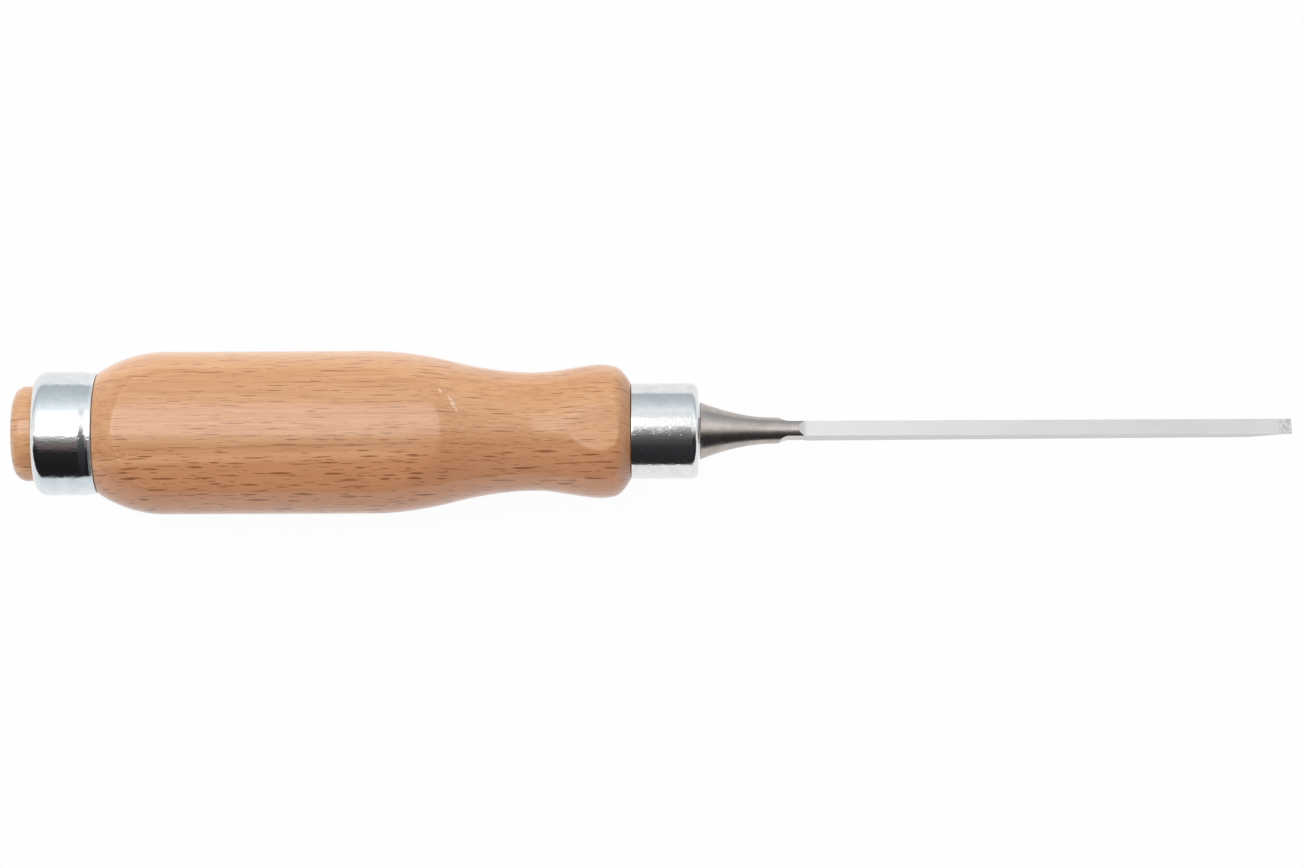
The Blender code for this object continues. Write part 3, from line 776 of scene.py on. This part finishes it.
def runout(face, start, radius, end):
    """Outline of what a wheel grinds off past a face, with a round run-out where it leaves the steel."""
    far = face + radius + OVERCUT
    wheel = arc((start, face + radius), radius, 180, 270, WHEEL_STEPS)
    return wheel + [(end, face), (end, far), (start - radius, far)]


bottom_heel = BACK_HEIGHT - SIDE_HEIGHT_HEEL - EDGE_BEVEL
bottom_tip = BACK_HEIGHT - SIDE_HEIGHT_TIP - EDGE_BEVEL
fall = (bottom_tip - bottom_heel) / (BLADE_TIP - HEEL)
swell_radius = math.hypot(HALF_WIDTH, bottom_heel) + CLEARANCE
blank_end = BLADE_TIP + OVERCUT
heel_radius = NECK_RADIUS + NECK_SLOPE * (HEEL - NECK)
blade_outline = [(TANG_END, 0), (TANG_END, TANG_END_HALF_WIDTH, 1), (BOLSTER, TANG_HALF_WIDTH, 1)]
blade_outline += [(BOLSTER, BOLSTER_RADIUS - BOLSTER_EDGE), (BOLSTER + BOLSTER_EDGE, BOLSTER_RADIUS)]
taper_ends = ((BOLSTER, BOLSTER_RADIUS, BOLSTER_SLOPE), (NECK, NECK_RADIUS, NECK_SLOPE))
blade_outline += [(x, ease(*taper_ends, x)) for x in stations(BOLSTER, NECK, STATION_STEP)[1:]]
neck_places = stations(NECK, HEEL, COARSE_STEP)[1:]
blade_outline += [(x, NECK_RADIUS + NECK_SLOPE * (x - NECK)) for x in neck_places]
blade_outline += [(SWELL, heel_radius)]
swell_ends = ((SWELL, heel_radius, 0), (SWELL_END, swell_radius, 0))
blade_outline += [(x, ease(*swell_ends, x)) for x in stations(SWELL, SWELL_END, STATION_STEP)[1:]]
blade_outline += [(blank_end, swell_radius), (blank_end, 0)]
blade_drawn = drawn_outline("blade", blade_outline, NECK_STEPS, turned_steel)
depth = swell_radius + OVERCUT
cut_end = blank_end + OVERCUT
slope = math.tan(CUTTING_ANGLE)
bevel_length = (BACK_HEIGHT - bottom_tip) / (slope - fall)
back_face = runout(BACK_HEIGHT, HEEL + BACK_RUNOUT_ADVANCE, BACK_RUNOUT, cut_end)
under_face = [(HEEL, bottom_heel), (BLADE_TIP - bevel_length, bottom_tip - fall * bevel_length)]
under_face += [(cut_end, BACK_HEIGHT + (cut_end - BLADE_TIP) * slope), (cut_end, -depth), (HEEL, -depth)]
side_face = runout(HALF_WIDTH, HEEL - SIDE_RUNOUT_SETBACK, SIDE_RUNOUT, cut_end)
edge_reach = OVERCUT / 2
edge_outside = HALF_WIDTH + edge_reach
edge_face = [(HALF_WIDTH - EDGE_BEVEL - edge_reach, -edge_reach), (edge_outside, EDGE_BEVEL + edge_reach)]
edge_face += [(edge_outside, -edge_reach)]
edge_sweep = (cut_end - HEEL, 0, fall * (cut_end - HEEL))
wheels = []
for label, face in (("back_wheel", back_face), ("under_wheel", under_face)):
    wheels.append(grind(blade_drawn, label, [(x, -depth, z) for x, z in face], (0, 2 * depth, 0)))
for label, side in (("left", 1), ("right", -1)):
    side_corners = [(x, side * y, -depth) for x, y in side_face]
    wheels.append(grind(blade_drawn, label + "_side_wheel", side_corners, (0, 0, 2 * depth)))
    edge_corners = [(HEEL, side * y, bottom_heel + z) for y, z in edge_face]
    wheels.append(grind(blade_drawn, label + "_edge_wheel", edge_corners, edge_sweep))
blade = as_plain_mesh("ground_blade", blade_drawn)
for wheel in wheels:
    bpy.data.objects.remove(wheel)
blade.data.shade_smooth()
blade.data.set_sharp_from_angle(angle=BLADE_SHARP_ANGLE)
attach(blade, "root")
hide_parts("blade")

# Table and background
# A white table top that fills the view. The camera and the metal see it as plain white, less the little
# that is left of the chisel's shadow.
TABLE_HALF = 6.0
TABLE_WHITE = (0.80, 0.80, 0.80, 1)
TABLE_ROUGHNESS = 0.7
BACKGROUND_WHITE = (1, 1, 1, 1)
BACKGROUND_SHARE = 0.97


def make_card(name, corners, material):
    """A flat card of the studio, which isn't part of the object."""
    mesh = bpy.data.meshes.new(name)
    mesh.from_pydata(corners, [], [list(range(len(corners)))])
    mesh.materials.append(material)
    card = bpy.data.objects.new(name, mesh)
    bpy.context.scene.collection.objects.link(card)
    return card


def seen_directly(tree):
    """1 for what the camera or the metal sees, and 0 for what only lights the scene."""
    path = Wire(tree).add("ShaderNodeLightPath", out="Is Camera Ray")
    seen = path + path.out("Is Glossy Ray") + path.out("Is Transmission Ray")
    return path.math("MINIMUM", seen, 1.0)


table_material = bpy.data.materials.new("white_table")
table_material.use_nodes = True
table_tree = table_material.node_tree
table_shader = table_tree.nodes["Principled BSDF"]
table_shader.inputs["Base Color"].default_value = TABLE_WHITE
table_shader.inputs["Roughness"].default_value = TABLE_ROUGHNESS
white = Wire(table_tree).add("ShaderNodeEmission", sockets={"Color": BACKGROUND_WHITE, "Strength": 1.0})
table_mix = white.add("ShaderNodeMixShader", sockets={
    0: seen_directly(table_tree) * BACKGROUND_SHARE,
    1: Wire(table_tree, table_shader.outputs[0]), 2: white})
table_tree.links.new(table_mix.socket, table_tree.nodes["Material Output"].inputs["Surface"])
make_card("table", [(-TABLE_HALF, -TABLE_HALF, 0), (TABLE_HALF, -TABLE_HALF, 0),
                    (TABLE_HALF, TABLE_HALF, 0), (-TABLE_HALF, TABLE_HALF, 0)], table_material)

# Studio light
# A wide softbox overhead with cards beside it, a pale blue-grey wall behind, black drapes in front, a dark
# hood over the camera and one beside it, a grey card on the table by the hoop that paints the table's shade
# into the hoop's reflection, and two fill lamps that no reflection shows. The camera's rays pass through
# all of them.
SOFTBOX_HEIGHT = 1.0
SOFTBOX_X = (-1.1, 0.08)
SOFTBOX_Y = (-0.20, 0.35)
SOFTBOX_RADIANCE = 3.1
FILLS = (
    ("rear_fill", (0.0, 1.7, 0.42), (2.4, 0.8), 2.1),
    ("front_fill", (0.0, -1.7, 0.25), (2.4, 0.5), 1.0))
STUDIO_X = (-4.0, 4.0)
WALL_DISTANCE = 1.1
WALL_TOP = 1.7
DRAPE_FOOT = -0.094
DRAPE_HEIGHT = 0.002
HOOD_HEIGHT = 0.92
HOOD_X = (-0.045, 0.05)
NECK_HOOD_X = (0.05, 0.40)
HOOD_Y = (-1.05, 0.0)
GREY_CARD_X = (-0.036, -0.0085)
GREY_CARD_Y = (0.0, 0.325)
PALE_CARD_X = (-0.0085, 0.40)
PALE_CARD_Y = (0.325, 0.62)
PANEL_Y = (0.35, 0.62)
NEAR_BLACK_X = (-0.045, 4.0)
CEILING_X = (0.08, 4.0)
CEILING_Y = (-1.1, 0.6)
FLOOR_SHADE_X = (-0.17, -0.1)
FLOOR_SHADE_Y = (DRAPE_FOOT, -0.012)
FLOOR_SHADE_HEIGHT = 0.001
WORLD_FILL = 0.4


def make_lamp(name, place, size, radiance):
    """A rectangular lamp that faces down, with the radiance of its face. The camera doesn't see it."""
    data = bpy.data.lights.new(name, "AREA")
    data.shape = "RECTANGLE"
    data.size, data.size_y = size
    data.energy = radiance * math.pi * size[0] * size[1]
    lamp = bpy.data.objects.new(name, data)
    lamp.location = place
    lamp.visible_camera = False
    bpy.context.scene.collection.objects.link(lamp)
    return lamp


softbox_place = (sum(SOFTBOX_X) / 2, sum(SOFTBOX_Y) / 2, SOFTBOX_HEIGHT)
softbox_size = (SOFTBOX_X[1] - SOFTBOX_X[0], SOFTBOX_Y[1] - SOFTBOX_Y[0])
make_lamp("softbox", softbox_place, softbox_size, SOFTBOX_RADIANCE)
for label, place, size, radiance in FILLS:
    fill = make_lamp(label, place, size, radiance)
    fill.rotation_euler = Vector(place).to_track_quat("Z", "Y").to_euler()
    fill.visible_glossy = False


def make_glow(name, axis, stops):
    """A material that glows from colour to colour along an axis, with a stop for each place."""
    material = bpy.data.materials.new(name)
    material.use_nodes = True
    tree = material.node_tree
    tree.nodes.remove(tree.nodes["Principled BSDF"])
    along = Wire(tree).add("ShaderNodeTexCoord", out="Object").parts()["xyz".index(axis)]
    places = list(stops)
    colour = (*stops[places[0]], 1)
    for low, high in zip(places, places[1:]):
        colour = along.between(low, high).mix(colour, (*stops[high], 1))
    glow = along.add("ShaderNodeEmission", sockets={"Color": colour, "Strength": 1.0})
    tree.links.new(glow.socket, tree.nodes["Material Output"].inputs["Surface"])
    return material


def make_wall(name, span, run, material, fills=True):
    """Cards that follow a run of places across the studio, each given as y and z. The camera sees none of
    them, and one that doesn't fill shows only in reflections."""
    for i, (start, end) in enumerate(zip(run, run[1:])):
        card = make_card(f"{name}_{i}", [
            (span[0], *start), (span[1], *start), (span[1], *end), (span[0], *end)], material)
        card.visible_camera = False
        card.visible_diffuse = fills
        card.visible_shadow = False


def level_run(places, height):
    """A run of places at one height."""
    return [(y, height) for y in places]


def grey(level):
    """A grey, as a colour's three parts."""
    return (level, level, level)


wall_glow = make_glow("wall_glow", "z", {0.0: (0.53, 0.575, 0.615), WALL_TOP: (0.99, 1.05, 1.08)})
drape_black = make_glow("drape_black", "z", {0.0: (0.013, 0.013, 0.014), 0.9: (0.02, 0.019, 0.019)})
near_black = make_glow("near_black", "z", {0.0: (0.026, 0.026, 0.029), 0.9: (0.039, 0.039, 0.044)})
edge_glow = make_glow("edge_glow", "y", {
    -WALL_DISTANCE: (0.014, 0.013, 0.013), -0.93: (0.06, 0.05, 0.05), -0.73: (0.165, 0.128, 0.122),
    -0.53: (0.20, 0.175, 0.17), -0.38: (0.5, 0.48, 0.48), SOFTBOX_Y[0]: grey(2.2)})
hood_glow = make_glow("hood_glow", "y", {
    HOOD_Y[0]: (0.045, 0.045, 0.05), -0.63: (0.07, 0.07, 0.073), -0.39: grey(0.13),
    -0.175: grey(0.22), -0.065: grey(0.45), -0.002: grey(1.0)})
neck_hood_glow = make_glow("neck_hood_glow", "y", {
    HOOD_Y[0]: (0.045, 0.045, 0.05), -0.65: (0.07, 0.07, 0.073), -0.48: grey(0.13),
    -0.31: grey(0.22), -0.23: (0.45, 0.44, 0.43), -0.11: (1.0, 0.98, 0.97)})
ceiling_glow = make_glow("ceiling_glow", "y", {
    -0.66: grey(0.02), -0.42: (0.22, 0.215, 0.21), -0.25: (0.6, 0.59, 0.58),
    -0.07: (1.0, 0.99, 0.98), 0.2: (1.35, 1.34, 1.33)})
white_glow = make_glow("white_glow", "y", {HOOD_Y[1]: grey(1.1)})
panel_glow = make_glow("panel_glow", "y", {PANEL_Y[0]: grey(1.35), PANEL_Y[1]: grey(1.3)})
grey_glow = make_glow("grey_glow", "y", {GREY_CARD_Y[0]: grey(0.92), GREY_CARD_Y[1]: grey(0.9)})
pale_glow = make_glow("pale_glow", "y", {PALE_CARD_Y[0]: (0.9, 0.93, 0.95)})
floor_shade_glow = make_glow("floor_shade_glow", "y", {-0.06: (0.77, 0.815, 0.835), -0.015: (0.93, 0.95, 0.95)})
make_wall("rear_wall", STUDIO_X, [(WALL_DISTANCE, 0.0), (WALL_DISTANCE, WALL_TOP)], wall_glow)
drape_run = level_run((DRAPE_FOOT, -WALL_DISTANCE), DRAPE_HEIGHT) + [(-WALL_DISTANCE, SOFTBOX_HEIGHT)]
make_wall("drape", (STUDIO_X[0], NEAR_BLACK_X[0]), drape_run, drape_black, False)
make_wall("near_drape", NEAR_BLACK_X, drape_run, near_black, False)
soft_edge_run = level_run((-WALL_DISTANCE, SOFTBOX_Y[0]), SOFTBOX_HEIGHT)
make_wall("soft_edge", (STUDIO_X[0], SOFTBOX_X[1]), soft_edge_run, edge_glow, False)
make_wall("hood", HOOD_X, level_run(HOOD_Y, HOOD_HEIGHT), hood_glow, False)
make_wall("neck_hood", NECK_HOOD_X, level_run(HOOD_Y, HOOD_HEIGHT), neck_hood_glow, False)
make_wall("grey_card", GREY_CARD_X, level_run(GREY_CARD_Y, HOOD_HEIGHT), grey_glow)
white_card_run = level_run((HOOD_Y[1], PALE_CARD_Y[0]), HOOD_HEIGHT)
make_wall("white_card", PALE_CARD_X, white_card_run, white_glow)
pale_card_span = (GREY_CARD_X[0], PALE_CARD_X[1])
make_wall("pale_card", pale_card_span, level_run(PALE_CARD_Y, HOOD_HEIGHT), pale_glow)
panel_span = (SOFTBOX_X[0], GREY_CARD_X[0])
make_wall("panel", panel_span, level_run(PANEL_Y, SOFTBOX_HEIGHT), panel_glow)
make_wall("ceiling", CEILING_X, level_run(CEILING_Y, SOFTBOX_HEIGHT), ceiling_glow)
# Painted shade: a grey card on the table by the hoop stands in for the table's shade there, seen only in
# the hoop's reflection.
make_wall("floor_shade_card", FLOOR_SHADE_X, level_run(FLOOR_SHADE_Y, FLOOR_SHADE_HEIGHT), floor_shade_glow, False)

world = bpy.data.worlds.new("studio")
bpy.context.scene.world = world
world.use_nodes = True
world_background = world.node_tree.nodes["Background"]
world_background.inputs["Color"].default_value = BACKGROUND_WHITE
world_level = WORLD_FILL + (1 - WORLD_FILL) * seen_directly(world.node_tree)
world.node_tree.links.new(world_level.socket, world_background.inputs["Strength"])

# Camera
# It looks almost straight down, from a little to the front, with a long lens, and frames the whole tool.
PICTURE_WIDTH = 1304
PIXELS_PER_MM = 4.902
CAMERA_DISTANCE = 0.83
CAMERA_ELEVATION = math.radians(77.5)
CAMERA_ROLL = math.radians(0.24)
SENSOR_WIDTH = 36.0
AIM = Vector((-0.15 * MM, -0.61 * MM, AXIS_HEIGHT))
camera_data = bpy.data.cameras.new("camera")
camera_data.sensor_width = SENSOR_WIDTH
camera_data.lens = SENSOR_WIDTH * PIXELS_PER_MM / MM * CAMERA_DISTANCE / PICTURE_WIDTH
camera = bpy.data.objects.new("camera", camera_data)
back = Vector((0, -math.cos(CAMERA_ELEVATION), math.sin(CAMERA_ELEVATION)))
turn = (-back).to_track_quat("-Z", "Y").to_matrix() @ Matrix.Rotation(-CAMERA_ROLL, 3, "Z")
camera.matrix_world = Matrix.Translation(AIM + back * CAMERA_DISTANCE) @ turn.to_4x4()
bpy.context.scene.collection.objects.link(camera)
bpy.context.scene.camera = camera
bpy.context.scene.view_settings.view_transform = "Standard"
